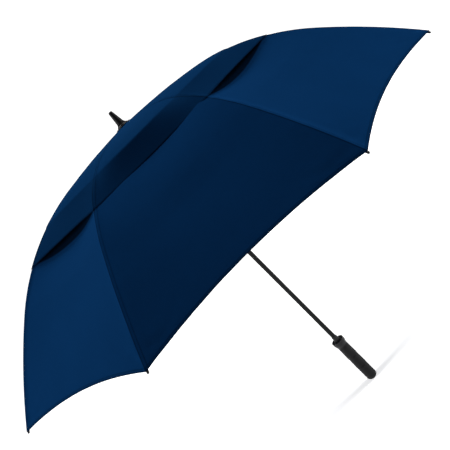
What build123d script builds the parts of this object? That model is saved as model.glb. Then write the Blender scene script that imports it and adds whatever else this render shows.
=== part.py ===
"""Stick umbrella with a double, vented canopy on eight folding ribs, in millimetres, +Z up.

The origin is the middle of the handle's end. The shaft runs up the Z axis to the ferrule.
The ribs stand in eight vertical planes. A point in such a plane is written (r, z): r is the
distance from the axis. Everything is drawn open, as the umbrella is when it is in use.
"""

import os
from math import atan2, cos, degrees, hypot, radians, sin

from build123d import *

# Driving dimensions ---------------------------------------------------------------------

RIBS = 8
FIRST_RIB = 22.5  # azimuth of rib 1, so that a gore faces along -Y
STEP = 360 / RIBS
HALF_GORE = STEP / 2

# The canopy's profile over a rib: three tangent arcs from the crown out to the tip
CANOPY_START = (12.5, 942.7)
START_SLOPE = 2.1  # degrees below the horizontal
CANOPY_ARCS = [(209.5, 6.9), (306.0, 31.7), (308.7, 10.7)]  # length, turn in degrees
TIP_AT = 768.9  # length along the profile to the end of a rib tip

CLOTH = 0.6
UPPER_FROM, UPPER_TO = 10.0, 396.0  # the upper cloth, as lengths along the profile
LOWER_FROM, LOWER_TO = 352.0, 764.0
LOWER_DEPTH = 1.3  # the lower cloth lies this far under the profile
SEAM_GAP = 0.3
HEM_TIP_Z = 625.0  # height of the hem at a rib
HEM_MIDDLE_Z = 635.0  # height of the hem half way between two ribs

# Ribs and stretchers
RIB_R = 1.8
RIB_DEPTH = 5.6  # the rib's centre line lies this far under the profile
KNEE_AT = 395.8  # the rib's own joint, under the edge of the upper cloth
BRACKET_AT = 310.0  # where the stretcher holds the rib
BRACKET_DROP = 12.0
TIP_R, TIP_LENGTH = 2.5, 22.0
EYE_R = 2.6
BRACKET_LENGTH, BRACKET_WIDTH, BRACKET_NECK = 14.0, 6.4, 7.0
FORK_REACH = 12.0  # the knee's fork and tongue lap along the rib by this and by less
PIN_R, PIN_HOLE_R = 0.8, 0.85
TONGUE = 2.0
EAR_IN, EAR_OUT = 1.3, 2.6  # an ear lies between these distances from the rib's plane
CHANNEL_IN, CHANNEL_OUT = 3.2, 4.0  # half widths inside and outside the channel
CHANNEL_TOP, CHANNEL_BOTTOM = 4.0, 1.5  # above and below the line through its two pivots
WEB = 0.8

# Shaft and handle
SHAFT_R, SHAFT_IN_R = 6.3, 5.4
SHAFT_BOTTOM, SHAFT_TOP = 24.0, 957.0
GRIP_R = 15.2
GRIP_TOP = 130.0
GRIP_END_ROUND = 10.0
CUP_R, CUP_RIM_Z, CUP_FLOOR_Z, CUP_WALL = 18.2, 149.0, 143.0, 1.8
NECK_R, NECK_TOP_R, NECK_TOP_Z = 9.0, 7.4, 163.0

# Crown at the top and runner on the shaft
CROWN_R, CROWN_Z, CROWN_UP, CROWN_DOWN = 17.0, 930.0, 6.5, 8.0
CROWN_WIRE_R = 12.0
RUNNER_Z = 614.7
RUNNER_WIRE_R = 15.0
RUNNER_R, RUNNER_TUBE_R, RUNNER_BORE_R = 18.6, 9.6, 6.6
RUNNER_UP, RUNNER_DOWN = 4.5, 62.0
WIRE_R, WIRE_GROOVE_R, WIRE_EYE_R = 0.7, 0.8, 1.15
SLOT = 2.8
SLOT_FLOOR_R = 8.6  # in the crown
RUNNER_SLOT_FLOOR_R = 10.5
SLOT_LONG = 20.0  # longer than any slot is deep

# The catch: a sprung ring in the runner rests on a pin in the shaft
LATCH_Z = 575.0
LATCH_THICK, LATCH_WIDE, LATCH_TRAVEL = 3.0, 18.0, 2.5
LATCH_ROOM = 0.4
HOUSING_R, HOUSING_HALF = 14.0, 9.0
CATCH_PIN_R, CATCH_PIN_OUT = 1.5, 9.0

# Ferrule and the washer under it
FERRULE_TOP, FERRULE_TIP_R, FERRULE_TIP_ROUND = 990.0, 5.0, 3.5
FERRULE_NECK_Z, FERRULE_NECK_R = 958.0, 9.2
WASHER_Z, WASHER_THICK, WASHER_R, FERRULE_FOOT_R = 943.2, 2.6, 22.5, 15.5

os.makedirs("parts", exist_ok=True)


def save(piece, name):
    """Label one finished sub-part and write it to its own file."""
    piece.label = name
    export_step(piece, f"parts/{name}.step")


def canopy_point(along, depth=0.0):
    """The (r, z) point at a length along the canopy's profile, and depth below it."""
    r, z = CANOPY_START
    slope = radians(START_SLOPE)
    for length, turn in CANOPY_ARCS:
        bend = radians(turn) / length
        piece = min(along, length)
        r += (sin(slope + bend * piece) - sin(slope)) / bend
        z += (cos(slope + bend * piece) - cos(slope)) / bend
        slope += bend * piece
        along -= piece
        if along <= 0:
            break
    return r - depth * sin(slope), z - depth * cos(slope)


def stations(start, end, count):
    """Evenly spaced lengths along the profile."""
    return [start + (end - start) * i / (count - 1) for i in range(count)]


def upright_plane(azimuth, off=0.0):
    """The vertical plane through the axis at an azimuth: x is r, y is z, moved off to one side."""
    a = radians(azimuth)
    side = (sin(a), -cos(a), 0)
    return Plane(
        origin=(side[0] * off, side[1] * off, 0),
        x_dir=(cos(a), sin(a), 0),
        z_dir=side,
    )


def facing_plane(azimuth):
    """The vertical plane through the axis that faces out along an azimuth: x is sideways."""
    a = radians(azimuth)
    return Plane(origin=(0, 0, 0), x_dir=(-sin(a), cos(a), 0), z_dir=(cos(a), sin(a), 0))


def bar(start, end, width):
    """A round-ended bar from one (r, z) point to another, in the sketch in hand."""
    run, rise = end[0] - start[0], end[1] - start[1]
    with Locations(((start[0] + end[0]) / 2, (start[1] + end[1]) / 2)):
        SlotCenterToCenter(hypot(run, rise), width, rotation=degrees(atan2(rise, run)))


def make_rod(azimuth, start, end):
    """A round rod under the canopy's profile, one arc for each arc of the profile it follows."""
    arc_ends = [CANOPY_ARCS[0][0], CANOPY_ARCS[0][0] + CANOPY_ARCS[1][0]]
    joins = [start] + [s for s in arc_ends if start < s < end] + [end]
    with BuildPart() as rod:
        with BuildLine(upright_plane(azimuth)) as path:
            for first, last in zip(joins, joins[1:]):
                between = (first + last) / 2
                ThreePointArc(*[canopy_point(s, RIB_DEPTH) for s in (first, between, last)])
        centre_line = path.wires()[0]
        with BuildSketch(Plane(origin=centre_line @ 0, z_dir=centre_line % 0)):
            Circle(RIB_R)
        sweep(path=centre_line)
    return rod.part


# Pivots of one rib, in its own plane ------------------------------------------------------

CROWN_PIVOT = (CROWN_WIRE_R, CROWN_Z)
KNEE = canopy_point(KNEE_AT, RIB_DEPTH)
BRACKET = canopy_point(BRACKET_AT, RIB_DEPTH + BRACKET_DROP)
RUNNER_PIVOT = (RUNNER_WIRE_R, RUNNER_Z)


def unit(start, end):
    run, rise = end[0] - start[0], end[1] - start[1]
    length = hypot(run, rise)
    return run / length, rise / length


def from_point(point, direction, distance):
    return point[0] + direction[0] * distance, point[1] + direction[1] * distance


def make_inner_rib(number, azimuth):
    """From the crown to the knee: root plate, rod, stretcher bracket and knee tongue."""
    plane = upright_plane(azimuth)
    root_end = canopy_point(9.0, RIB_DEPTH)
    knee_side = canopy_point(KNEE_AT - 8, RIB_DEPTH)
    bracket_ends = [
        canopy_point(BRACKET_AT + side * BRACKET_LENGTH / 2, RIB_DEPTH) for side in (-1, 1)
    ]
    rod = make_rod(azimuth, 8.0, KNEE_AT - 6)
    with BuildPart() as inner_rib:
        add(rod)
        with BuildSketch(plane):
            bar(CROWN_PIVOT, root_end, EYE_R * 2)
            bar(knee_side, KNEE, EYE_R * 2)
        extrude(amount=TONGUE / 2, both=True)
        with BuildSketch(plane):
            bar(*bracket_ends, BRACKET_WIDTH)
            bar(canopy_point(BRACKET_AT, RIB_DEPTH), BRACKET, BRACKET_NECK)
        extrude(amount=EAR_OUT, both=True)
        with BuildSketch(plane):
            with Locations(BRACKET, KNEE):
                Circle(PIN_HOLE_R)
            with Locations(CROWN_PIVOT):
                Circle(WIRE_EYE_R)
        extrude(amount=CHANNEL_OUT, both=True, mode=Mode.SUBTRACT)
    save(inner_rib.part, f"rib_inner_{number}")


def make_outer_rib(number, azimuth):
    """From the knee to the tip: knee fork with its pin, and rod."""
    plane = upright_plane(azimuth)
    fork_end = canopy_point(KNEE_AT + FORK_REACH, RIB_DEPTH)
    rod = make_rod(azimuth, KNEE_AT + 9, TIP_AT - 6)
    with BuildPart() as outer_rib:
        with BuildSketch(plane):
            bar(KNEE, fork_end, EYE_R * 2)
        extrude(amount=EAR_OUT, both=True)
        with BuildSketch(plane):
            slot_start = from_point(KNEE, unit(fork_end, KNEE), 5)
            slot_end = from_point(KNEE, unit(KNEE, fork_end), 1.6)
            bar(slot_start, slot_end, EYE_R * 2 + 1.8)
        extrude(amount=EAR_IN, both=True, mode=Mode.SUBTRACT)
        with BuildSketch(plane):
            with Locations(KNEE):
                Circle(PIN_R)
        extrude(amount=EAR_OUT, both=True)
        add(rod)
    save(outer_rib.part, f"rib_outer_{number}")


def make_rib_tip(number, azimuth):
    """A plain cap with a domed end, pushed over the end of the rib."""
    start = canopy_point(TIP_AT - TIP_LENGTH, RIB_DEPTH)
    end = canopy_point(TIP_AT, RIB_DEPTH)
    with BuildPart() as rib_tip:
        with BuildLine(upright_plane(azimuth)) as path:
            Line(start, end)
        with BuildSketch(Plane(origin=path.line @ 0, z_dir=path.line % 0)):
            Circle(TIP_R)
        extrude(amount=TIP_LENGTH)
        far_end = rib_tip.faces().sort_by(Axis.Z)[0]
        fillet(far_end.edges(), TIP_R - 0.3)
        with BuildSketch(Plane(origin=path.line @ 0, z_dir=path.line % 0)):
            Circle(RIB_R + 0.1)
        extrude(amount=TIP_LENGTH - 6, mode=Mode.SUBTRACT)
    save(rib_tip.part, f"rib_tip_{number}")


def make_stretcher(number, azimuth):
    """A channel that opens away from the crown, with a pin at the rib and an eye at the runner."""
    plane = upright_plane(azimuth)
    up = unit(RUNNER_PIVOT, BRACKET)
    over = (-up[1], up[0])
    channel_start = from_point(RUNNER_PIVOT, up, 9)
    web_end = from_point(BRACKET, up, -7)
    low, high = -CHANNEL_BOTTOM, CHANNEL_TOP
    with BuildPart() as stretcher:
        with BuildSketch(plane):
            with BuildLine():
                Polyline(
                    from_point(channel_start, over, low),
                    from_point(BRACKET, over, low),
                    from_point(BRACKET, over, high - WEB),
                    from_point(web_end, over, high),
                    from_point(channel_start, over, high),
                    close=True,
                )
            make_face()
            with Locations(BRACKET):
                Circle(EYE_R + 0.4)
        extrude(amount=CHANNEL_OUT, both=True)
        with BuildSketch(plane):
            with BuildLine():
                Polyline(
                    from_point(from_point(RUNNER_PIVOT, up, 22), over, low - 4),
                    from_point(from_point(BRACKET, up, 5), over, low - 4),
                    from_point(from_point(BRACKET, up, 5), over, high + 4),
                    from_point(web_end, over, high + 4),
                    from_point(web_end, over, high - WEB),
                    from_point(from_point(RUNNER_PIVOT, up, 22), over, high - WEB),
                    close=True,
                )
            make_face()
        extrude(amount=CHANNEL_IN, both=True, mode=Mode.SUBTRACT)
        with BuildSketch(plane):
            bar(RUNNER_PIVOT, from_point(RUNNER_PIVOT, up, 14), EYE_R * 2 - 0.6)
        extrude(amount=TONGUE / 2, both=True)
        with BuildSketch(plane):
            with Locations(RUNNER_PIVOT):
                Circle(WIRE_EYE_R)
        extrude(amount=CHANNEL_OUT, both=True, mode=Mode.SUBTRACT)
        with BuildSketch(plane):
            with Locations(BRACKET):
                Circle(PIN_R)
        extrude(amount=CHANNEL_OUT, both=True)
    save(stretcher.part, f"stretcher_{number}")


def make_cloth(azimuth, start, end, depth):
    """One cloth panel between two ribs, straight from rib to rib."""
    narrow = cos(radians(HALF_GORE))
    outside = [canopy_point(s, depth) for s in stations(start, end, 9)]
    inside = [canopy_point(s, depth + CLOTH) for s in stations(start, end, 9)]
    with BuildPart() as cloth:
        with BuildSketch(upright_plane(azimuth)):
            with BuildLine():
                top = Spline(*[(r * narrow, z) for r, z in outside])
                under = Spline(*[(r * narrow, z) for r, z in inside])
                Line(top @ 0, under @ 0)
                Line(top @ 1, under @ 1)
            make_face()
        extrude(amount=TIP_AT / 2, both=True)
        split(bisect_by=upright_plane(azimuth - HALF_GORE, -SEAM_GAP), keep=Keep.BOTTOM)
        split(bisect_by=upright_plane(azimuth + HALF_GORE, SEAM_GAP), keep=Keep.TOP)
    return cloth.part


def make_upper_gore(number, azimuth):
    """An upper panel, from the washer to the vent."""
    save(make_cloth(azimuth, UPPER_FROM, UPPER_TO, 0), f"upper_gore_{number}")


def make_lower_gore(number, azimuth):
    """A lower panel, with the hem cut to a hollow curve between two tips."""
    reach = canopy_point(LOWER_TO)[0]
    half = reach * sin(radians(HALF_GORE))
    cloth = make_cloth(azimuth, LOWER_FROM, LOWER_TO, LOWER_DEPTH)
    with BuildPart() as lower_gore:
        add(cloth)
        with BuildSketch(facing_plane(azimuth)):
            with BuildLine():
                ThreePointArc((-half, HEM_TIP_Z), (0, HEM_MIDDLE_Z), (half, HEM_TIP_Z))
                Polyline(
                    (half, HEM_TIP_Z),
                    (half + 20, HEM_TIP_Z),
                    (half + 20, HEM_TIP_Z - 60),
                    (-half - 20, HEM_TIP_Z - 60),
                    (-half - 20, HEM_TIP_Z),
                    (-half, HEM_TIP_Z),
                )
            make_face()
        extrude(amount=TIP_AT, mode=Mode.SUBTRACT)
    save(lower_gore.part, f"lower_gore_{number}")


# Ribs, stretchers and cloth ---------------------------------------------------------------

for number in range(1, RIBS + 1):
    rib_azimuth = FIRST_RIB + STEP * (number - 1)
    gore_azimuth = rib_azimuth + HALF_GORE
    make_inner_rib(number, rib_azimuth)
    make_outer_rib(number, rib_azimuth)
    make_rib_tip(number, rib_azimuth)
    make_stretcher(number, rib_azimuth)
    make_upper_gore(number, gore_azimuth)
    make_lower_gore(number, gore_azimuth)

# Shaft ------------------------------------------------------------------------------------

with BuildPart() as shaft:
    with BuildSketch(Plane.XY.offset(SHAFT_BOTTOM)):
        Circle(SHAFT_R)
        Circle(SHAFT_IN_R, mode=Mode.SUBTRACT)
    extrude(amount=SHAFT_TOP - SHAFT_BOTTOM)
    catch_pin_z = LATCH_Z - LATCH_THICK / 2 - CATCH_PIN_R - SEAM_GAP
    with BuildSketch(Plane.XZ):
        with Locations((0, catch_pin_z)):
            Circle(CATCH_PIN_R)
    extrude(amount=-SHAFT_R - 1, mode=Mode.SUBTRACT)
save(shaft.part, "shaft")

with BuildPart() as catch_pin:
    with BuildSketch(Plane.XZ.offset(-SHAFT_IN_R)):
        with Locations((0, catch_pin_z)):
            Circle(CATCH_PIN_R)
    extrude(amount=-(CATCH_PIN_OUT - SHAFT_IN_R))
    chamfer(catch_pin.faces().sort_by(Axis.Y)[-1].edges(), 0.4)
save(catch_pin.part, "catch_pin")

# Handle -----------------------------------------------------------------------------------

FLARE_NARROW, FLARE_WIDE = 14.8, 15.6
FLARES = [(124.0, 88.0), (86.6, 51.0)]  # each flare runs down and outwards between two heights
GROOVE, GROOVE_HALF = 0.8, 0.7
groove_floor = FLARE_NARROW - GROOVE

with BuildPart() as handle_grip:
    with BuildSketch(Plane.XZ):
        with BuildLine():
            Line((0, 0), (GRIP_R - GRIP_END_ROUND, 0))
            CenterArc((GRIP_R - GRIP_END_ROUND, GRIP_END_ROUND), GRIP_END_ROUND, -90, 90)
            Polyline(
                (GRIP_R, GRIP_END_ROUND),
                (GRIP_R, FLARES[1][1] - 2 * GROOVE_HALF),
                (groove_floor, FLARES[1][1] - GROOVE_HALF),
                (FLARE_WIDE, FLARES[1][1]),
                (FLARE_NARROW, FLARES[1][0]),
                (groove_floor, FLARES[1][0] + GROOVE_HALF),
                (FLARE_WIDE, FLARES[0][1]),
                (FLARE_NARROW, FLARES[0][0]),
                (groove_floor, FLARES[0][0] + GROOVE_HALF),
                (FLARE_NARROW, FLARES[0][0] + 2 * GROOVE_HALF),
                (GRIP_R, GRIP_TOP),
                (0, GRIP_TOP),
                (0, 0),
            )
        make_face()
    revolve(axis=Axis.Z)
    with BuildSketch(Plane.XY.offset(SHAFT_BOTTOM)):
        Circle(SHAFT_R)
    extrude(amount=GRIP_TOP - SHAFT_BOTTOM, mode=Mode.SUBTRACT)
save(handle_grip.part, "handle_grip")

with BuildPart() as tip_cup:
    with BuildSketch(Plane.XZ):
        with BuildLine():
            Polyline(
                (SHAFT_R, GRIP_TOP),
                (GRIP_R, GRIP_TOP),
                (CUP_R - 0.7, GRIP_TOP + 8),
                (CUP_R, GRIP_TOP + 12),
                (CUP_R, CUP_RIM_Z - 0.8),
            )
            ThreePointArc(
                (CUP_R, CUP_RIM_Z - 0.8),
                (CUP_R - CUP_WALL / 2, CUP_RIM_Z),
                (CUP_R - CUP_WALL, CUP_RIM_Z - 0.8),
            )
            Polyline(
                (CUP_R - CUP_WALL, CUP_RIM_Z - 0.8),
                (CUP_R - CUP_WALL - 0.8, CUP_FLOOR_Z),
                (NECK_R + 2, CUP_FLOOR_Z),
                (NECK_R, CUP_FLOOR_Z + 2),
                (NECK_TOP_R, NECK_TOP_Z),
                (SHAFT_R, NECK_TOP_Z),
                (SHAFT_R, GRIP_TOP),
            )
        make_face()
    revolve(axis=Axis.Z)
save(tip_cup.part, "tip_cup")

# Crown and its wire -----------------------------------------------------------------------

with BuildPart() as crown:
    with BuildSketch(Plane.XY.offset(CROWN_Z - CROWN_DOWN)):
        Circle(CROWN_R)
        Circle(SHAFT_R, mode=Mode.SUBTRACT)
    extrude(amount=CROWN_DOWN + CROWN_UP)
    chamfer(crown.edges().filter_by(GeomType.CIRCLE).group_by(SortBy.RADIUS)[-1], 1.2)
    for number in range(RIBS):
        with BuildSketch(Plane.XY.offset(CROWN_Z - CROWN_DOWN)):
            with PolarLocations(SLOT_FLOOR_R + SLOT_LONG / 2, 1, FIRST_RIB + STEP * number):
                Rectangle(SLOT_LONG, SLOT)
        extrude(amount=CROWN_DOWN + CROWN_UP, mode=Mode.SUBTRACT)
    with BuildSketch(Plane.XZ):
        with Locations((CROWN_WIRE_R, CROWN_Z)):
            Circle(WIRE_GROOVE_R)
    revolve(axis=Axis.Z, mode=Mode.SUBTRACT)
save(crown.part, "crown")

with BuildPart() as crown_wire:
    with BuildSketch(Plane.XZ):
        with Locations((CROWN_WIRE_R, CROWN_Z)):
            Circle(WIRE_R)
    revolve(axis=Axis.Z)
save(crown_wire.part, "crown_wire")

# Runner, its wire and the catch ------------------------------------------------------------

with BuildPart() as runner:
    with BuildSketch(Plane.XZ):
        with BuildLine():
            Polyline(
                (RUNNER_BORE_R, RUNNER_Z - RUNNER_DOWN),
                (RUNNER_TUBE_R, RUNNER_Z - RUNNER_DOWN),
                (RUNNER_TUBE_R, LATCH_Z - HOUSING_HALF - 4),
                (HOUSING_R, LATCH_Z - HOUSING_HALF),
                (HOUSING_R, LATCH_Z + HOUSING_HALF),
                (RUNNER_TUBE_R, LATCH_Z + HOUSING_HALF + 4),
                (RUNNER_TUBE_R, RUNNER_Z - 9),
                (RUNNER_R, RUNNER_Z - 4),
                (RUNNER_R, RUNNER_Z + RUNNER_UP),
                (RUNNER_BORE_R, RUNNER_Z + RUNNER_UP),
                close=True,
            )
        make_face()
    revolve(axis=Axis.Z)
    for number in range(RIBS):
        with BuildSketch(Plane.XY.offset(RUNNER_Z - 12)):
            with PolarLocations(RUNNER_SLOT_FLOOR_R + SLOT_LONG / 2, 1, FIRST_RIB + STEP * number):
                Rectangle(SLOT_LONG, SLOT)
        extrude(amount=30, mode=Mode.SUBTRACT)
    with BuildSketch(Plane.XZ):
        with Locations((RUNNER_WIRE_R, RUNNER_Z)):
            Circle(WIRE_GROOVE_R)
    revolve(axis=Axis.Z, mode=Mode.SUBTRACT)
    # the keyway that lets the catch pin pass, from under the latch ring to the top
    keyway_from = catch_pin_z - CATCH_PIN_R - SEAM_GAP
    with BuildSketch(Plane.XY.offset(keyway_from)):
        with Locations((0, (CATCH_PIN_OUT + SEAM_GAP) / 2)):
            Rectangle(CATCH_PIN_R * 2 + 0.6, CATCH_PIN_OUT + SEAM_GAP)
    extrude(amount=RUNNER_Z + RUNNER_UP - keyway_from, mode=Mode.SUBTRACT)
    # the slot for the latch ring, open at the front
    pocket_back = SHAFT_R + LATCH_TRAVEL + 3.4
    with BuildSketch(Plane.XY.offset(LATCH_Z - LATCH_THICK / 2 - LATCH_ROOM)):
        with Locations((0, (pocket_back - 2 * HOUSING_R) / 2)):
            Rectangle(LATCH_WIDE + 2 * LATCH_ROOM, pocket_back + 2 * HOUSING_R)
    extrude(amount=LATCH_THICK + 2 * LATCH_ROOM, mode=Mode.SUBTRACT)
save(runner.part, "runner")

with BuildPart() as runner_wire:
    with BuildSketch(Plane.XZ):
        with Locations((RUNNER_WIRE_R, RUNNER_Z)):
            Circle(WIRE_R)
    revolve(axis=Axis.Z)
save(runner_wire.part, "runner_wire")

RING_BACK, RING_FRONT = 9.0, 12.0  # the ring's outer edges behind and before the shaft
STEM_FRONT, STEM_WIDE = 18.0, 9.0
BUTTON_FRONT, BUTTON_SIDE, BUTTON_CORNER = 20.5, 9.0, 2.0
BUTTON_BACK = HOUSING_R + LATCH_TRAVEL + 0.3  # pressed home, it stops short of the housing
HOLE_HALF = SHAFT_R + 0.5
with BuildPart() as release_button:
    with BuildSketch(Plane.XY.offset(LATCH_Z - LATCH_THICK / 2)):
        with Locations((0, (RING_BACK - RING_FRONT) / 2)):
            Rectangle(LATCH_WIDE, RING_BACK + RING_FRONT)
        with Locations((0, -STEM_FRONT / 2)):
            Rectangle(STEM_WIDE, STEM_FRONT)
        with Locations((0, -LATCH_TRAVEL / 2)):
            SlotOverall(HOLE_HALF * 2 + LATCH_TRAVEL, HOLE_HALF * 2, rotation=90, mode=Mode.SUBTRACT)
    extrude(amount=LATCH_THICK)
    with BuildSketch(Plane.XZ.offset(BUTTON_BACK)):
        with Locations((0, LATCH_Z)):
            RectangleRounded(BUTTON_SIDE, BUTTON_SIDE, BUTTON_CORNER)
    extrude(amount=BUTTON_FRONT - BUTTON_BACK)
    fillet(release_button.faces().sort_by(Axis.Y)[0].edges(), 0.8)
save(release_button.part, "release_button")

SPRING_FROM, SPRING_TO = RING_BACK + 0.1, pocket_back - 0.1
with BuildPart() as button_spring:
    with BuildSketch(Plane.XY.offset(LATCH_Z - 1)):
        with BuildLine():
            arc = ThreePointArc((-7, SPRING_TO - 0.4), (0, SPRING_FROM + 0.2), (7, SPRING_TO - 0.4))
            offset(arc, amount=0.2)
        make_face()
    extrude(amount=2)
save(button_spring.part, "button_spring")

# Ferrule and washer -----------------------------------------------------------------------

with BuildPart() as top_washer:
    with BuildSketch(Plane.XZ):
        with BuildLine():
            Polyline(
                (SHAFT_R, WASHER_Z),
                (WASHER_R, WASHER_Z),
                (WASHER_R, WASHER_Z + 0.8),
                (FERRULE_FOOT_R, WASHER_Z + WASHER_THICK),
                (SHAFT_R, WASHER_Z + WASHER_THICK),
                close=True,
            )
        make_face()
    revolve(axis=Axis.Z)
save(top_washer.part, "top_washer")

with BuildPart() as ferrule:
    foot_z = WASHER_Z + WASHER_THICK
    with BuildSketch(Plane.XZ):
        with BuildLine():
            Line((0, foot_z), (FERRULE_FOOT_R, foot_z))
            Line((FERRULE_FOOT_R, foot_z), (FERRULE_FOOT_R, foot_z + 1))
            ThreePointArc(
                (FERRULE_FOOT_R, foot_z + 1),
                ((FERRULE_FOOT_R + FERRULE_NECK_R) / 2 - 1.2, (foot_z + FERRULE_NECK_Z) / 2 - 1.2),
                (FERRULE_NECK_R, FERRULE_NECK_Z),
            )
            Line((FERRULE_NECK_R, FERRULE_NECK_Z), (FERRULE_TIP_R, FERRULE_TOP))
            Line((FERRULE_TIP_R, FERRULE_TOP), (0, FERRULE_TOP))
            Line((0, FERRULE_TOP), (0, foot_z))
        make_face()
    revolve(axis=Axis.Z)
    fillet(ferrule.faces().sort_by(Axis.Z)[-1].edges(), FERRULE_TIP_ROUND)
    with BuildSketch(Plane.XY.offset(foot_z)):
        Circle(SHAFT_R)
    extrude(amount=SHAFT_TOP - foot_z, mode=Mode.SUBTRACT)
save(ferrule.part, "ferrule")
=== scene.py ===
"""Looks of the vented stick umbrella: cloth, thread ties, rivets, finishes, light and camera."""

from math import atan2, cos, exp, hypot, pi, radians, sin

import bpy
from mathutils import Matrix, Vector, noise


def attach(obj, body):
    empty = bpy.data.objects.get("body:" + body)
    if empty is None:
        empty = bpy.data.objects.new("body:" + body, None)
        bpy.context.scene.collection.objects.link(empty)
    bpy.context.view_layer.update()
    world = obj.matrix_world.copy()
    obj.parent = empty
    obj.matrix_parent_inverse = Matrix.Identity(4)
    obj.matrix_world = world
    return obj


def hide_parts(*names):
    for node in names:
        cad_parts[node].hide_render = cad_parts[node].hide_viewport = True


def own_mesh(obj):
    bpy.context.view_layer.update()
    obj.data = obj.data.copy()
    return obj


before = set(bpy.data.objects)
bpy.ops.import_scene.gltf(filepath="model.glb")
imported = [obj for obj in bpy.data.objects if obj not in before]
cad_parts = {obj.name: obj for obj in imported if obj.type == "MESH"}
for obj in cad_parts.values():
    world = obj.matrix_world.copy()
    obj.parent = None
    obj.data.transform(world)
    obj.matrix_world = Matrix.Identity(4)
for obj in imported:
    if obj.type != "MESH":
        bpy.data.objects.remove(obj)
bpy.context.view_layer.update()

MM = 0.001

# The canopy's profile over a rib, in millimetres and degrees, as the CAD source has it:
# its first point and slope, and the length and turn of each arc
CANOPY_START = (12.5, 942.7)
START_SLOPE = 2.1
CANOPY_ARCS = [(209.5, 6.9), (306.0, 31.7), (308.7, 10.7)]
RIBS = 8
FIRST_RIB = 22.5
STEP = 360 / RIBS
HALF = radians(STEP / 2)
RIB_DEPTH = 5.6  # from the canopy's profile to the middle of the rib's pins
KNEE_AT = 395.8
BRACKET_AT, BRACKET_DROP = 310.0, 12.0

# Cloth, in millimetres: lengths along the profile, and places (u, z) half way between two
# ribs, where u is measured outwards from the shaft
CLOTH_THICK = 0.45
UPPER_FROM, UPPER_TO = 10.0, 408.0
LOWER_FROM, LOWER_DEPTH = 352.0, 1.3
HEM_AT_RIB, HEM_AT_MIDDLE = 765.0, 738.5
CREASE_AT = 298.0  # where the upper cloth turns down into its steep rim
CREASE_U, CREASE_Z = 305.0, 901.5
RIM_U, RIM_Z = 360.0, 858.5
RIM_BELLY_U, RIM_BELLY_Z = 0.9, 1.2  # the rim's own curve between its crease and its edge
DIMPLE_DEEP, DIMPLE_AT, DIMPLE_WIDE = 1.6, 45.0, 28.0  # the dip round the ferrule's foot
LOWER_SAG = [(352, 13.0), (410, 13.0), (470, 14.0), (560, 15.0), (680, 10.0), (760, 6.0)]
VENT_SAG = [(352, 11.0), (410, 10.0), (500, 0.0)]  # more sag where a vent gapes
UPPER_FULLNESS, LOWER_FULLNESS = 2.6, 2.0  # how soon the sag is reached beside a rib
SEAM_WIDE = 7.0
HEM_WIDE = 7.0

# The gore at the front, whose rim hangs steeper over a nearly closed vent
FRONT_GORE = 6
FRONT_CREASE_U = 322.0
FRONT_RIM_U, FRONT_RIM_Z = 351.0, 854.0
FRONT_VENT_OPEN = 0.25

# Puckers: how high, and the lengths they repeat over and reach to, in millimetres
SEAM_PUCKER, SEAM_WAVE, SEAM_REACH = 0.85, 21.0, 26.0
HEM_PUCKER, HEM_WAVE, HEM_REACH = 0.6, 15.0, 16.0
BROAD_PUCKER, BROAD_ACROSS, BROAD_ALONG, BROAD_CLEAR = 1.7, 95.0, 120.0, 40.0
FAN_PUCKER, FAN_FOLDS, FAN_FROM, FAN_AT, FAN_WIDE = 1.5, 15, 8.0, 45.0, 45.0
HELD_FLAT = 5.0  # beside the rib, where the seam holds the cloth
GORE_SEED, LOWER_SEED = 7.3, 50

# Mesh of a half gore
UPPER_ROWS, LOWER_ROWS, COLUMNS = 62, 74, 20
SEAM_SHARE = 0.4  # the most of a narrow half gore that its seam takes
SEAM_SHOULDER = 1.12  # the seam's far edge, as a share of its width
TURNED_HEM = [(0.35, 0.45), (0.9, 0.2), (1.0, -0.5 * HEM_WIDE), (1.0, -HEM_WIDE)]  # depth, past


def profile(along, depth=0.0):
    """The (r, z) point at a length along the canopy's profile, and depth below it."""
    r, z = CANOPY_START
    slope = radians(START_SLOPE)
    for length, turn in CANOPY_ARCS:
        bend = radians(turn) / length
        piece = min(along, length)
        r += (sin(slope + bend * piece) - sin(slope)) / bend
        z += (cos(slope + bend * piece) - cos(slope)) / bend
        slope += bend * piece
        along -= piece
        if along <= 0:
            break
    return r - depth * sin(slope), z - depth * cos(slope)


def slope_between(first, last):
    """The downward slope from one point of the profile to another, in radians."""
    (r0, z0), (r1, z1) = profile(first), profile(last)
    return atan2(z0 - z1, r1 - r0)


def profile_slope(along):
    return slope_between(along - 1, along + 1)


def rib_azimuth(rib):
    return radians(FIRST_RIB + STEP * (rib - 1))


def rib_directions(rib):
    """Level unit vectors outwards along a rib and sideways from it."""
    azimuth = rib_azimuth(rib)
    return Vector((cos(azimuth), sin(azimuth), 0)), Vector((-sin(azimuth), cos(azimuth), 0))


def gore_beside(rib, side_sign):
    """The gore on one side of a rib. Gore k follows rib k, and gore 0 follows the last rib."""
    return (rib if side_sign > 0 else rib - 1) % RIBS


def table_value(table, x):
    """Straight-line reading of a table of (x, y)."""
    if x <= table[0][0]:
        return table[0][1]
    for (x0, y0), (x1, y1) in zip(table, table[1:]):
        if x <= x1:
            return y0 + (y1 - y0) * (x - x0) / (x1 - x0)
    return table[-1][1]


def smooth(x):
    x = min(max(x, 0.0), 1.0)
    return x * x * (3 - 2 * x)


# The two cloth surfaces -------------------------------------------------------------------
# A point is given by its length along the profile and by where it is across the half gore:
# 0 on the rib and 1 half way to the next rib.

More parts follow.
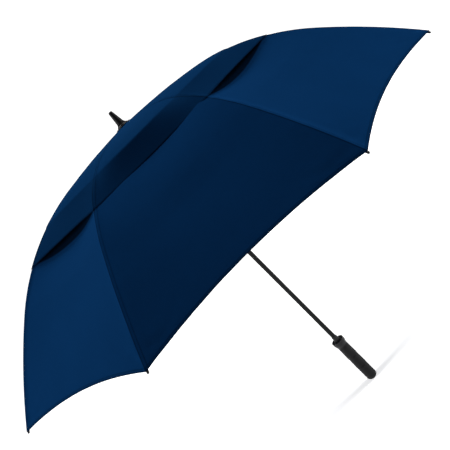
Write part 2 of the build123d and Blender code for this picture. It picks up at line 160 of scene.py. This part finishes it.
def upper_middle(along, gore):
    """(u, z) of the upper cloth half way between two ribs."""
    front = gore == FRONT_GORE
    crease_u = FRONT_CREASE_U if front else CREASE_U
    if along <= CREASE_AT:
        r, z = profile(along)
        crease_r, crease_z = profile(CREASE_AT)
        grow = smooth(along / CREASE_AT)
        dimple = DIMPLE_DEEP * exp(-((along - DIMPLE_AT) / DIMPLE_WIDE) ** 2)
        return (r * cos(HALF) + (crease_u - crease_r * cos(HALF)) * grow,
                z + (CREASE_Z - crease_z) * grow - dimple)
    rim_u, rim_z = (FRONT_RIM_U, FRONT_RIM_Z) if front else (RIM_U, RIM_Z)
    part = (along - CREASE_AT) / (UPPER_TO - CREASE_AT)
    belly = 4 * part * (1 - part)
    return (crease_u + (rim_u - crease_u) * part - RIM_BELLY_U * belly,
            CREASE_Z + (rim_z - CREASE_Z) * part - RIM_BELLY_Z * belly)


def lower_middle(along, gore):
    """(u, z) of the lower cloth half way between two ribs: it sags between them."""
    r, z = profile(along, LOWER_DEPTH)
    rib_slope = profile_slope(along)
    slope = atan2(sin(rib_slope), cos(rib_slope) * cos(HALF))
    gape = FRONT_VENT_OPEN if gore == FRONT_GORE else 1.0
    sag = table_value(LOWER_SAG, along) + table_value(VENT_SAG, along) * gape
    return r * cos(HALF) - sag * sin(slope), z - sag * cos(slope)


def surface(layer, gore, across, along):
    """The point (radial, sideways, z) in the rib's own frame, before any pucker."""
    upper = layer == "upper"
    r, z = profile(along, 0.0 if upper else LOWER_DEPTH)
    u, middle_z = (upper_middle if upper else lower_middle)(along, gore)
    share = 1 - (1 - across) ** (UPPER_FULLNESS if upper else LOWER_FULLNESS)
    extra = u - r * cos(HALF)
    radial = r + (r * cos(HALF) ** 2 - r) * across + extra * cos(HALF) * share
    side = r * cos(HALF) * sin(HALF) * across + extra * sin(HALF) * share
    return Vector((radial, side, z + (middle_z - z) * share))


def pucker(layer, gore, side_sign, across, along, from_hem, from_start):
    """How far the sewing lifts the cloth, in mm. It is one function over the whole gore."""
    r, _ = profile(along)
    half_chord = r * sin(HALF)
    x = side_sign * (across - 1)  # 0 half way between the ribs
    from_rib = across * half_chord
    seed = gore * GORE_SEED + (0 if layer == "upper" else LOWER_SEED)
    loose = 1 - exp(-from_rib / HELD_FLAT)
    wave = noise.noise(Vector((along / SEAM_WAVE, seed, side_sign * 3.1)))
    lift = SEAM_PUCKER * wave * loose * exp(-from_rib / SEAM_REACH) * (1 - across) ** 2
    wave = noise.noise(Vector((x * half_chord / HEM_WAVE, seed + 9, 0.7)))
    lift += HEM_PUCKER * wave * loose * exp(-from_hem / HEM_REACH)
    broad = noise.noise(Vector((x * half_chord / BROAD_ACROSS, along / BROAD_ALONG, seed)))
    inside = min(1.0, from_hem / BROAD_CLEAR) * min(1.0, from_start / BROAD_CLEAR)
    lift += BROAD_PUCKER * broad * loose * inside
    if layer == "lower":  # folds that fan out from the corner at the rib's tip
        reach = hypot(from_rib, from_hem)
        angle = atan2(from_rib, from_hem + FAN_FROM)
        fan = cos(angle * FAN_FOLDS + seed) * sin(2 * min(angle, pi / 2))
        lift += FAN_PUCKER * fan * exp(-((reach - FAN_AT) / FAN_WIDE) ** 2) * loose
    return lift


def cloth_end(layer, across):
    """Where the cloth ends along the profile: the lower hem bows in between the ribs."""
    if layer == "upper":
        return UPPER_TO
    bow = 1 - (1 - across) ** 2
    return HEM_AT_RIB + (HEM_AT_MIDDLE - HEM_AT_RIB) * bow


def new_object(name, points, faces):
    mesh = bpy.data.meshes.new(name)
    mesh.from_pydata(points, [], faces)
    mesh.polygons.foreach_set("use_smooth", [True] * len(mesh.polygons))
    mesh.update()
    obj = bpy.data.objects.new(name, mesh)
    bpy.context.scene.collection.objects.link(obj)
    return obj


def half_gore(layer, rib, side_sign):
    """The cloth from one rib to half way to the next, with its seam allowance and hems."""
    gore = gore_beside(rib, side_sign)
    start = UPPER_FROM if layer == "upper" else LOWER_FROM
    rows = UPPER_ROWS if layer == "upper" else LOWER_ROWS
    spread = [sin(pi / 2 * i / COLUMNS) for i in range(1, COLUMNS + 1)]
    turn = Matrix.Rotation(rib_azimuth(rib), 3, "Z")

    def place(across, along, sunk, from_hem, from_start, seam_lift):
        here = surface(layer, gore, across, along)
        ahead = surface(layer, gore, across, along + 2)
        beside = surface(layer, gore, min(across + 0.02, 1.0), along)
        if across > 0.98:
            beside = here + (here - surface(layer, gore, across - 0.02, along))
        normal = (ahead - here).cross(beside - here).normalized()
        if normal.z < 0:
            normal = -normal
        lift = pucker(layer, gore, side_sign, across, along, from_hem, from_start)
        here = here + normal * (lift + seam_lift - sunk)
        here.y *= side_sign
        return turn @ here * MM

    # each row: share of the way from the inner edge to the hem, depth, and length past there
    grid_rows = [(i / rows, 0.0, 0.0) for i in range(rows + 1)]
    grid_rows += [(1.0, sunk, past) for sunk, past in TURNED_HEM]
    if layer == "lower":
        grid_rows = [(0.0, sunk, -past) for sunk, past in reversed(TURNED_HEM)] + grid_rows
    points, cloth_uv, edges_uv = [], [], []
    for share, sunk, past in grid_rows:
        r_here, _ = profile(start + share * (cloth_end(layer, 0.0) - start))
        half_chord = r_here * sin(HALF)
        seam = min(SEAM_WIDE, SEAM_SHARE * half_chord) / half_chord
        shoulder = seam * SEAM_SHOULDER
        places = [0.0, 0.5 * seam, seam, shoulder]
        places += [shoulder + (1 - shoulder) * x for x in spread]
        for index, across in enumerate(places):
            end = cloth_end(layer, across)
            along = start + share * (end - start) + past
            # the seam allowance lies on one side of the rib only
            raised = CLOTH_THICK if side_sign > 0 and index in (1, 2) else 0.0
            from_hem, from_start = max(end - along, 0.0), max(along - start, 0.0)
            points.append(place(across, along, sunk, from_hem, from_start, raised))
            cloth_uv.append((side_sign * across * half_chord * MM, along * MM))
            edges_uv.append((from_hem * MM, from_start * MM))
    wide = len(places)
    faces = []
    for i in range(len(grid_rows) - 1):
        for j in range(wide - 1):
            a = i * wide + j
            quad = (a, a + wide, a + wide + 1, a + 1)
            faces.append(quad if side_sign > 0 else quad[::-1])
    side_name = "right" if side_sign > 0 else "left"
    obj = new_object(f"{layer}_cloth_{rib}_{side_name}", points, faces)
    mesh = obj.data
    for name, values in (("cloth", cloth_uv), ("edges", edges_uv)):
        uv_layer = mesh.uv_layers.new(name=name)
        for loop in mesh.loops:
            uv_layer.data[loop.index].uv = values[loop.vertex_index]
    on_side = []
    for edge in mesh.edges:
        i, j = (k % wide for k in edge.vertices)
        on_side.append(i == j and i in (0, wide - 1))
    sharp = mesh.attributes.new("sharp_edge", "BOOLEAN", "EDGE")
    sharp.data.foreach_set("value", on_side)
    solid = obj.modifiers.new("thickness", "SOLIDIFY")
    solid.thickness = CLOTH_THICK * MM
    solid.offset = -1 if mesh.polygons[len(faces) // 2].normal.z > 0 else 1
    return obj


# Materials --------------------------------------------------------------------------------

# The sewing as it looks, in metres: where each line is, half its width and its soft edge
DITCH = (0.0, 0.0009, 0.0008)
FOLD_EDGE = (0.0072, 0.0003, 0.0006)
SEAM_STITCH = (0.0060, 0.0003, 0.0002)
HEM_STITCH = (0.0055, 0.0003, 0.0002)
HEM_BAND = (0.0, 0.0062, 0.0012)
HEM_EDGE = (0.0, 0.0012, 0.0012)
STITCH_LONG = 0.0032
STITCH_TONE = 0.35
DOUBLED_RIM_SHADE = (0.295, 0.301)  # where the upper cloth becomes two layers, along the profile; from there on it is darkened as painted shade, for the light that two layers let through less of
VENT_SHADE, FRONT_VENT_SHADE = 0.046, 0.030  # painted shadow: the lower cloth's margin under the vent, darkened this far in from its inner edge, less at the front gore
VENT_SHADE_SOFT = 0.005


class Nodes:
    """Short names for the node tree of one material."""

    def __init__(self, name):
        self.material = bpy.data.materials.new(name)
        self.material.use_nodes = True
        self.tree = self.material.node_tree
        self.shader = self.tree.nodes["Principled BSDF"]

    def new(self, kind, **sockets):
        node = self.tree.nodes.new(kind)
        for name, value in sockets.items():
            self.put(node, name.replace("_", " "), value)
        return node

    def put(self, node, socket, value):
        if isinstance(value, bpy.types.NodeSocket):
            self.tree.links.new(value, node.inputs[socket])
        else:
            node.inputs[socket].default_value = value

    def shade(self, **sockets):
        """Sets or links sockets of the shader."""
        for name, value in sockets.items():
            self.put(self.shader, name.replace("_", " "), value)

    def math(self, operation, a, b=0.0, c=0.0, clamp=False):
        node = self.tree.nodes.new("ShaderNodeMath")
        node.operation = operation
        node.use_clamp = clamp
        for i, value in enumerate((a, b, c)):
            self.put(node, i, value)
        return node.outputs[0]

    def times(self, value, *factors):
        for factor in factors:
            value = self.math("MULTIPLY", value, factor)
        return value

    def spread(self, value, amount):
        """1 give or take half the amount, from a value between 0 and 1."""
        return self.math("MULTIPLY_ADD", value, amount, 1 - amount / 2)

    def darken(self, mask, share):
        """1 away from the mask, and less by the share on it."""
        return self.math("MULTIPLY_ADD", mask, -share, 1.0)

    def mix(self, factor, a, b):
        node = self.tree.nodes.new("ShaderNodeMix")
        node.data_type = "RGBA"
        for socket, value in ((0, factor), (6, a), (7, b)):
            self.put(node, socket, value)
        return node.outputs[2]

    def noise(self, vector, scale, detail=3.0, roughness=0.55):
        node = self.new("ShaderNodeTexNoise", Vector=vector, Scale=scale, Detail=detail,
                        Roughness=roughness)
        return node.outputs["Fac"]

    def threads(self, vector, direction, scale):
        node = self.new("ShaderNodeTexWave", Vector=vector, Scale=scale, Distortion=0.6)
        node.bands_direction = direction
        return node.outputs["Fac"]

    def bump(self, height, strength, distance, under=None):
        node = self.new("ShaderNodeBump", Height=height, Strength=strength, Distance=distance)
        if under is not None:
            self.put(node, "Normal", under)
        return node.outputs["Normal"]

    def object_place(self):
        return self.new("ShaderNodeTexCoord").outputs["Object"]

    def uv(self, name):
        """The map itself and its two numbers."""
        node = self.new("ShaderNodeUVMap")
        node.uv_map = name
        split = self.new("ShaderNodeSeparateXYZ", Vector=node.outputs[0])
        return node.outputs[0], split.outputs[0], split.outputs[1]

    def band(self, value, middle, half, soft):
        """1 within half of middle, falling to 0 over soft."""
        away = self.math("ABSOLUTE", self.math("SUBTRACT", value, middle))
        return self.math("MULTIPLY_ADD", away, -1 / soft, (half + soft) / soft, clamp=True)

    def dashes(self, value):
        """Stitches along a seam, 1 on the thread and 0 between."""
        wave = self.math("SINE", self.math("MULTIPLY", value, 2 * pi / STITCH_LONG))
        return self.math("MULTIPLY_ADD", wave, 2.5, 1.4, clamp=True)


def colour(r, g, b):
    return (r, g, b, 1.0)


def cloth_material(name, tint, doubled_shade_from=None, vent_shade=None):
    """Woven polyester: threads, mottling, seam, stitches and hems, with painted shade over the
    doubled rim and a painted shadow on the margin under the vent, each when given.
    """
    m = Nodes(name)
    cloth, sideways, along = m.uv("cloth")
    _, from_hem, from_start = m.uv("edges")
    place = m.object_place()

    mottle = m.noise(place, 5.0, 4.0)
    fine = m.noise(place, 260.0, 4.0, 0.7)
    slub = m.new("ShaderNodeMapping", Vector=cloth, Scale=(900.0, 45.0, 1.0))
    streak = m.noise(slub.outputs[0], 1.0, 2.0)
    light = m.times(m.spread(mottle, 0.22), m.spread(fine, 0.16), m.spread(streak, 0.14))

    along_dashes, across_dashes = m.dashes(along), m.dashes(sideways)
    stitches = m.times(m.band(sideways, *SEAM_STITCH), along_dashes)
    for distance in (from_hem, from_start):
        row = m.times(m.band(distance, *HEM_STITCH), across_dashes)
        stitches = m.math("MAXIMUM", stitches, row)

    light = m.times(light,
                    m.darken(m.band(m.math("ABSOLUTE", sideways), *DITCH), 0.55),
                    m.darken(m.band(sideways, *FOLD_EDGE), 0.35),
                    m.darken(m.band(from_hem, *HEM_BAND), 0.22),
                    m.darken(m.band(from_hem, *HEM_EDGE), 0.45))
    # painted shade: the upper cloth is darkened where it lies doubled, standing in for the light
    # that two layers hold back
    if doubled_shade_from:
        start, end = doubled_shade_from
        width = end - start
        painted_doubled_shade = m.math("MULTIPLY_ADD", along, 1 / width, -start / width, clamp=True)
        light = m.times(light, m.darken(painted_doubled_shade, 0.30))
    # painted shadow: the lower cloth's inner margin is darkened where the vent's rim shades it
    if vent_shade:
        vent_shadow_mask = m.band(from_start, 0.0, vent_shade, VENT_SHADE_SOFT)
        light = m.times(light, m.darken(vent_shadow_mask, 0.90))
    dyed = m.new("ShaderNodeVectorMath")
    dyed.operation = "SCALE"
    m.put(dyed, 0, tint)
    m.put(dyed, "Scale", light)
    thread_colour = colour(*[c * STITCH_TONE for c in tint])

    weave = m.times(m.threads(cloth, "X", 560.0), m.threads(cloth, "Y", 520.0))
    normal = m.bump(weave, 0.5, 0.00008)
    normal = m.bump(m.noise(place, 70.0, 5.0), 0.35, 0.0006, normal)
    normal = m.bump(m.math("SUBTRACT", 1.0, stitches), 0.9, 0.0004, normal)
    m.shade(Base_Color=m.mix(stitches, dyed.outputs[0], thread_colour),
            Roughness=m.math("MULTIPLY_ADD", fine, 0.16, 0.50),
            Specular_IOR_Level=0.0, Sheen_Weight=0.02, Sheen_Roughness=0.5,
            Sheen_Tint=colour(0.1, 0.4, 1.0), Normal=normal)
    return m.material


def hard_material(name, tint, rough, metallic=0.0, grain=400.0, grain_deep=0.0001, stretch=None,
                  wear=0.0, coat=0.0, specular=0.5):
    """Moulded plastic, rubber, paint or metal with grain, uneven roughness and light wear."""
    m = Nodes(name)
    place = m.object_place()
    pattern = place
    if stretch:
        pattern = m.new("ShaderNodeMapping", Vector=place, Scale=stretch).outputs[0]
    fine = m.noise(pattern, grain, 5.0, 0.65)
    broad = m.noise(place, 22.0, 4.0)
    marks = m.noise(place, 130.0, 6.0, 0.7)
    worn = m.times(m.math("MULTIPLY_ADD", marks, 6.0, -3.7, clamp=True), wear)
    darker = colour(*[c * 0.72 for c in tint])
    lighter = colour(*[min(1, c * 1.3 + 0.004) for c in tint])
    rubbed = colour(*[min(1, c * 2.2 + 0.03) for c in tint])
    uneven = m.math("MULTIPLY_ADD", broad, 0.12, rough - 0.11)
    m.shade(Base_Color=m.mix(worn, m.mix(broad, darker, lighter), rubbed),
            Roughness=m.math("MULTIPLY_ADD", fine, 0.10, uneven),
            Metallic=metallic, Coat_Weight=coat, Specular_IOR_Level=specular,
            Normal=m.bump(fine, 0.5, grain_deep))
    return m.material


LOWER_TINT = (0.0012, 0.0160, 0.0570)
# the upper cloth gets a darker copy of the lower cloth's colour: painted shade, as both are the
# same cloth
upper_cloth = cloth_material("upper_cloth_weave", (0.0008, 0.0128, 0.0450),
                             doubled_shade_from=DOUBLED_RIM_SHADE)
lower_cloth = cloth_material("lower_cloth_weave", LOWER_TINT, vent_shade=VENT_SHADE)
# a copy for the front gore, whose painted shadow under its nearly closed vent is narrower
lower_front = cloth_material("lower_front_weave", LOWER_TINT, vent_shade=FRONT_VENT_SHADE)

# Each finish: colour, roughness, metallic, grain, depth of grain, then what sets it apart
FINISHES = {
    "shaft_satin_black": ((0.006, 0.006, 0.0065), 0.40, 0.0, 300.0, 0.00004,
                          dict(stretch=(1.0, 1.0, 0.04), wear=0.25, specular=0.12)),
    "grip_rubber": ((0.007, 0.007, 0.0075), 0.66, 0.0, 1400.0, 0.00022,
                    dict(wear=0.1, specular=0.16)),
    "cup_plastic": ((0.006, 0.006, 0.007), 0.30, 0.0, 700.0, 0.00005,
                    dict(wear=0.2, coat=0.08, specular=0.2)),
    "ferrule_plastic": ((0.005, 0.005, 0.006), 0.42, 0.0, 600.0, 0.00008,
                        dict(wear=0.06, specular=0.05)),
    "nylon_black": ((0.020, 0.020, 0.022), 0.45, 0.0, 900.0, 0.00010, dict(wear=0.2)),
    "zinc_wire": ((0.42, 0.43, 0.45), 0.30, 1.0, 500.0, 0.00003,
                  dict(stretch=(1.0, 1.0, 0.2), wear=0.2)),
    "rib_fibreglass": ((0.030, 0.030, 0.032), 0.34, 0.0, 350.0, 0.00005,
                       dict(wear=0.15, coat=0.2)),
    "tip_plastic": ((0.005, 0.005, 0.006), 0.45, 0.0, 800.0, 0.00006,
                    dict(wear=0.15, specular=0.2)),
    "stretcher_steel": ((0.050, 0.051, 0.054), 0.33, 0.75, 420.0, 0.00005, dict(wear=0.3)),
    "thread_black": ((0.012, 0.012, 0.014), 0.8, 0.0, 1800.0, 0.00012, {}),
    "rivet_steel": ((0.46, 0.46, 0.48), 0.28, 1.0, 900.0, 0.00003, dict(wear=0.3)),
}
finishes = {}
for name, (*values, more) in FINISHES.items():
    finishes[name] = hard_material(name, *values, **more)

# The finish of a CAD node, by how its name starts. The first match counts.
FINISH_BY_START = (
    ("shaft", "shaft_satin_black"), ("handle", "grip_rubber"), ("tip_cup", "cup_plastic"),
    ("ferrule", "ferrule_plastic"), ("top_washer", "ferrule_plastic"),
    ("crown_wire", "zinc_wire"), ("runner_wire", "zinc_wire"), ("button_spring", "zinc_wire"),
    ("catch_pin", "zinc_wire"), ("rib_tip", "tip_plastic"), ("rib_", "rib_fibreglass"),
    ("stretcher", "stretcher_steel"), ("", "nylon_black"))

for name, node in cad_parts.items():
    if "gore" not in name:
        finish = next(found for start, found in FINISH_BY_START if name.startswith(start))
        node.data.materials.clear()
        node.data.materials.append(finishes[finish])

# Cloth on the frame -----------------------------------------------------------------------

BODY = {"upper": "rib_inner", "lower": "rib_outer"}
CHORD = {"upper": (60, 396), "lower": (400, 755)}  # the stretch of rib over which the tilt is worked out
HEM_MEAN_PAST = 8.0  # how far the lower hem is past its middle, on average
FLAT_STEPS = 60


def flat_half(layer):
    """Width, length and area of the flat cloth of a half gore, in metres."""
    start, end = UPPER_FROM, UPPER_TO
    if layer == "lower":
        start, end = LOWER_FROM, HEM_AT_MIDDLE + HEM_MEAN_PAST
    places = [start + (end - start) * i / FLAT_STEPS for i in range(FLAT_STEPS + 1)]
    widths = [profile(along)[0] * sin(HALF) for along in places]
    area = sum(widths) / len(widths) * (end - start)
    return max(widths) * MM, (end - start + HEM_WIDE) * MM, area * MM * MM


for rib in range(1, RIBS + 1):
    for layer, body in BODY.items():
        first, last = CHORD[layer]
        chord = slope_between(first, last)
        r, z = profile((first + last) / 2)
        wide, long, area = flat_half(layer)
        for side_sign in (1, -1):
            piece = half_gore(layer, rib, side_sign)
            front = gore_beside(rib, side_sign) == FRONT_GORE
            under = lower_front if front else lower_cloth
            piece.data.materials.append(upper_cloth if layer == "upper" else under)
            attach(piece, f"{body}_{rib}")
            if side_sign > 0:
                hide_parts(f"{layer}_gore_{rib}")
            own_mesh(piece)

# Thread ties and rivets -------------------------------------------------------------------

TIE_HALF_WIDE, TIE_UNDER = 2.15, 2.1  # a tie's half width, and its depth below the rib's pins
TIE_THREAD_R, TIE_TURNS_APART = 0.4, 0.9
INNER_TIES, INNER_TIE_TOP = (140, 235), 1.4
OUTER_TIES, OUTER_TIE_TOP = (470, 560, 650, 725), 2.8
RIVET_R, RIVET_HIGH = 1.5, 0.75
KNEE_RIVET_OUT, BRACKET_RIVET_OUT = 2.55, 3.95  # from the rib's middle to the head


def add_loop(centre, across, up, half_wide, half_high, thick, points, faces, turns=20, sides=8):
    """Adds a closed loop of thread round a rib."""
    base = len(points)
    forward = across.cross(up).normalized()
    for i in range(turns):
        a = 2 * pi * i / turns
        out = across * cos(a) * half_wide + up * sin(a) * half_high
        direction = out.normalized()
        for j in range(sides):
            b = 2 * pi * j / sides
            points.append(centre + out + (direction * cos(b) + forward * sin(b)) * thick)
    for i in range(turns):
        for j in range(sides):
            a, b = base + i * sides, base + (i + 1) % turns * sides
            k = (j + 1) % sides
            faces.append((a + j, b + j, b + k, a + k))


def thread_ties(name, rib, places, top):
    """Three turns of thread at each place, that hold the cloth to the rib."""
    outward, tangent = rib_directions(rib)
    points, faces = [], []
    bottom = RIB_DEPTH + TIE_UNDER
    for place in places:
        slope = profile_slope(place)
        up = outward * sin(slope) + Vector((0, 0, cos(slope)))
        for turn in (-1, 0, 1):
            r, z = profile(place + turn * TIE_TURNS_APART, (top + bottom) / 2)
            centre = outward * r + Vector((0, 0, z))
            add_loop(centre * MM, tangent, up, TIE_HALF_WIDE * MM, (bottom - top) / 2 * MM,
                     TIE_THREAD_R * MM, points, faces)
    return new_object(name, points, faces)


def add_dome(centre, axis, radius, high, points, faces, rings=5, sides=16):
    """Adds a rivet head: a low dome on a flat underside."""
    base = len(points)
    side_a = axis.orthogonal().normalized()
    side_b = axis.cross(side_a)
    for i in range(rings):
        a = pi / 2 * i / rings
        for j in range(sides):
            b = 2 * pi * j / sides
            points.append(centre + (side_a * cos(b) + side_b * sin(b)) * radius * cos(a)
                          + axis * high * sin(a))
    points.append(centre + axis * high)
    for i in range(rings - 1):
        for j in range(sides):
            k = (j + 1) % sides
            faces.append((base + i * sides + j, base + i * sides + k,
                          base + (i + 1) * sides + k, base + (i + 1) * sides + j))
    last_ring, top = base + (rings - 1) * sides, base + rings * sides
    for j in range(sides):
        faces.append((last_ring + j, last_ring + (j + 1) % sides, top))
    faces.append(tuple(base + j for j in reversed(range(sides))))


def rivets(name, rib, along, depth, out):
    """The two heads of a pin through the rib."""
    outward, tangent = rib_directions(rib)
    r, z = profile(along, depth)
    centre = outward * r + Vector((0, 0, z))
    points, faces = [], []
    for sign in (1, -1):
        add_dome((centre + tangent * sign * out) * MM, tangent * sign, RIVET_R * MM,
                 RIVET_HIGH * MM, points, faces)
    return new_object(name, points, faces)


def fit(piece, body, finish):
    piece.data.materials.append(finishes[finish])
    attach(piece, body)


for rib in range(1, RIBS + 1):
    fit(thread_ties(f"inner_ties_{rib}", rib, INNER_TIES, INNER_TIE_TOP),
        f"rib_inner_{rib}", "thread_black")
    fit(thread_ties(f"outer_ties_{rib}", rib, OUTER_TIES, OUTER_TIE_TOP),
        f"rib_outer_{rib}", "thread_black")
    fit(rivets(f"knee_rivet_{rib}", rib, KNEE_AT, RIB_DEPTH, KNEE_RIVET_OUT),
        f"rib_outer_{rib}", "rivet_steel")
    fit(rivets(f"bracket_rivet_{rib}", rib, BRACKET_AT, RIB_DEPTH + BRACKET_DROP,
               BRACKET_RIVET_OUT),
        f"stretcher_{rib}", "rivet_steel")

# Stage, light and camera ------------------------------------------------------------------

FLOOR_HALF = 30.0
FLOOR_GLOW, FLOOR_GLOW_MORE = 0.42, 0.63  # near the umbrella, and what the far floor adds
FLOOR_FAR_FROM, FLOOR_FAR_OVER = 1.0, 2.5  # where the far floor's glow starts and its rise
WORLD_LIGHT, WORLD_SEEN = 0.10, 1.2
AIM = (0, 0, 0.8)
LIGHTS = {"top": ((0.0, 1.1, 3.1), 1.6, 100),  # place, size and watts
          "left": ((-2.9, -0.25, 1.7), 1.4, 98),
          "right": ((2.9, -0.25, 1.7), 1.4, 98)}
CAMERA_AT = (0.0049, -1.672, 0.888)
PITCH = 0.1783  # downwards, in radians
ROLL = radians(44.94)
LENS = 52.98

corners = [(x * FLOOR_HALF, y * FLOOR_HALF, 0) for x, y in ((-1, -1), (1, -1), (1, 1), (-1, 1))]
floor = new_object("floor", corners, [(0, 1, 2, 3)])
pale = Nodes("pale_floor")
reach = pale.new("ShaderNodeVectorMath")
reach.operation = "LENGTH"
pale.put(reach, 0, pale.object_place())
far = pale.math("MULTIPLY_ADD", reach.outputs["Value"], 1 / FLOOR_FAR_OVER,
                -FLOOR_FAR_FROM / FLOOR_FAR_OVER, clamp=True)
pale.shade(Base_Color=colour(0.85, 0.85, 0.85), Roughness=0.9, Emission_Color=colour(1, 1, 1),
           Emission_Strength=pale.math("MULTIPLY_ADD", far, FLOOR_GLOW_MORE, FLOOR_GLOW))
# the floor is clear from below, so the umbrella can be looked at from under it
clear = pale.new("ShaderNodeBsdfTransparent")
from_below = pale.new("ShaderNodeNewGeometry").outputs["Backfacing"]
both = pale.new("ShaderNodeMixShader", Fac=from_below)
pale.put(both, 1, pale.shader.outputs[0])
pale.put(both, 2, clear.outputs[0])
pale.put(pale.tree.nodes["Material Output"], "Surface", both.outputs[0])
floor.data.materials.append(pale.material)

# a white studio that looks brighter than the light it gives
world = bpy.data.worlds.new("studio")
bpy.context.scene.world = world
world.use_nodes = True
tree = world.node_tree
sky = tree.nodes["Background"]
sky.inputs["Color"].default_value = colour(1, 1, 1)
ray = tree.nodes.new("ShaderNodeLightPath")
level = tree.nodes.new("ShaderNodeMapRange")
level.inputs["To Min"].default_value = WORLD_LIGHT
level.inputs["To Max"].default_value = WORLD_SEEN
tree.links.new(ray.outputs["Is Camera Ray"], level.inputs["Value"])
tree.links.new(level.outputs["Result"], sky.inputs["Strength"])

for name, (place, size, watts) in LIGHTS.items():
    light = bpy.data.lights.new(name, "AREA")
    light.shape = "DISK"
    light.size = size
    light.energy = watts
    lamp = bpy.data.objects.new(name, light)
    lamp.location = place
    lamp.rotation_euler = (Vector(AIM) - Vector(place)).to_track_quat("-Z", "Y").to_euler()
    bpy.context.scene.collection.objects.link(lamp)

camera_data = bpy.data.cameras.new("camera")
camera_data.lens = LENS
camera_data.sensor_width = 36.0
camera_data.clip_end = 200
camera = bpy.data.objects.new("camera", camera_data)
bpy.context.scene.collection.objects.link(camera)
forward = Vector((0, cos(PITCH), -sin(PITCH)))
right = Vector((1, 0, 0))
up = right.cross(forward)
camera_right = right * cos(ROLL) - up * sin(ROLL)
camera_up = right * sin(ROLL) + up * cos(ROLL)
turned = Matrix((camera_right, camera_up, -forward)).transposed()
camera.matrix_world = Matrix.Translation(CAMERA_AT) @ turned.to_4x4()
bpy.context.scene.camera = camera
bpy.context.scene.view_settings.view_transform = "Standard"
